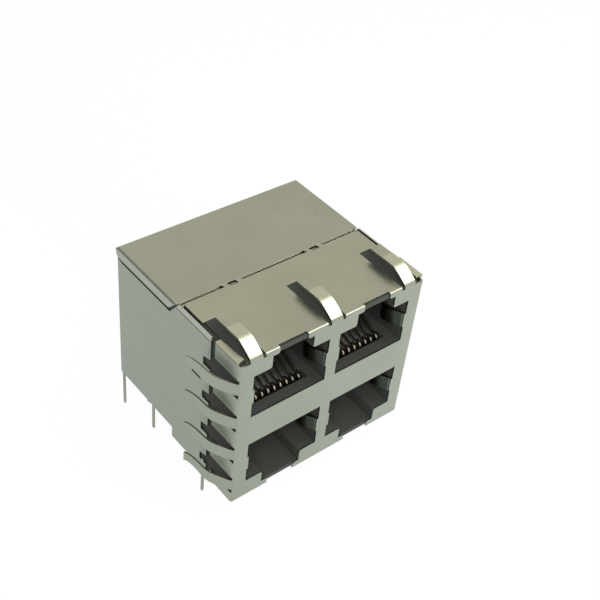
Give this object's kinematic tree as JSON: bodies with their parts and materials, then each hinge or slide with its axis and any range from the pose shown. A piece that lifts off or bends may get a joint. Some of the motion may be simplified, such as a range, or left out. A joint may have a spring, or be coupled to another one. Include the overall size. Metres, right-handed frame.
{
  "type": "shielded modular jack",
  "caption": "Stacked multi-port shielded modular jack for a circuit board, with spring fingers on the shield and through-hole tails.",
  "frame": {"origin": "middle of the body's width and depth, on the board surface that the standoff pads sit on", "axes": "+X to the right seen from the front, +Y from the front face to the back panel, +Z away from the board"},
  "size_m": [0.0352, 0.0282, 0.0318],
  "materials": {
    "front_shield": "satin tin-plated spring sheet",
    "rear_shield": "satin tin-plated sheet",
    "housing": "matt black moulded plastic",
    "module": "matt black moulded plastic",
    "contact": "gold-plated spring wire"
  },
  "bodies": {
    "root": {"front_shield": "front_shield", "rear_shield": "rear_shield", "housing": "housing", "contact_module_l": "module", "contact_module_r": "module", "contact_ul_1": "contact", "contact_ul_2": "contact", "contact_ul_3": "contact", "contact_ul_4": "contact", "contact_ul_5": "contact", "contact_ul_6": "contact", "contact_ul_7": "contact", "contact_ul_8": "contact", "contact_ur_1": "contact", "contact_ur_2": "contact", "contact_ur_3": "contact", "contact_ur_4": "contact", "contact_ur_5": "contact", "contact_ur_6": "contact", "contact_ur_7": "contact", "contact_ur_8": "contact", "contact_ll_1": "contact", "contact_ll_2": "contact", "contact_ll_3": "contact", "contact_ll_4": "contact", "contact_ll_5": "contact", "contact_ll_6": "contact", "contact_ll_7": "contact", "contact_ll_8": "contact", "contact_lr_1": "contact", "contact_lr_2": "contact", "contact_lr_3": "contact", "contact_lr_4": "contact", "contact_lr_5": "contact", "contact_lr_6": "contact", "contact_lr_7": "contact", "contact_lr_8": "contact"}
  },
  "joints": []
}
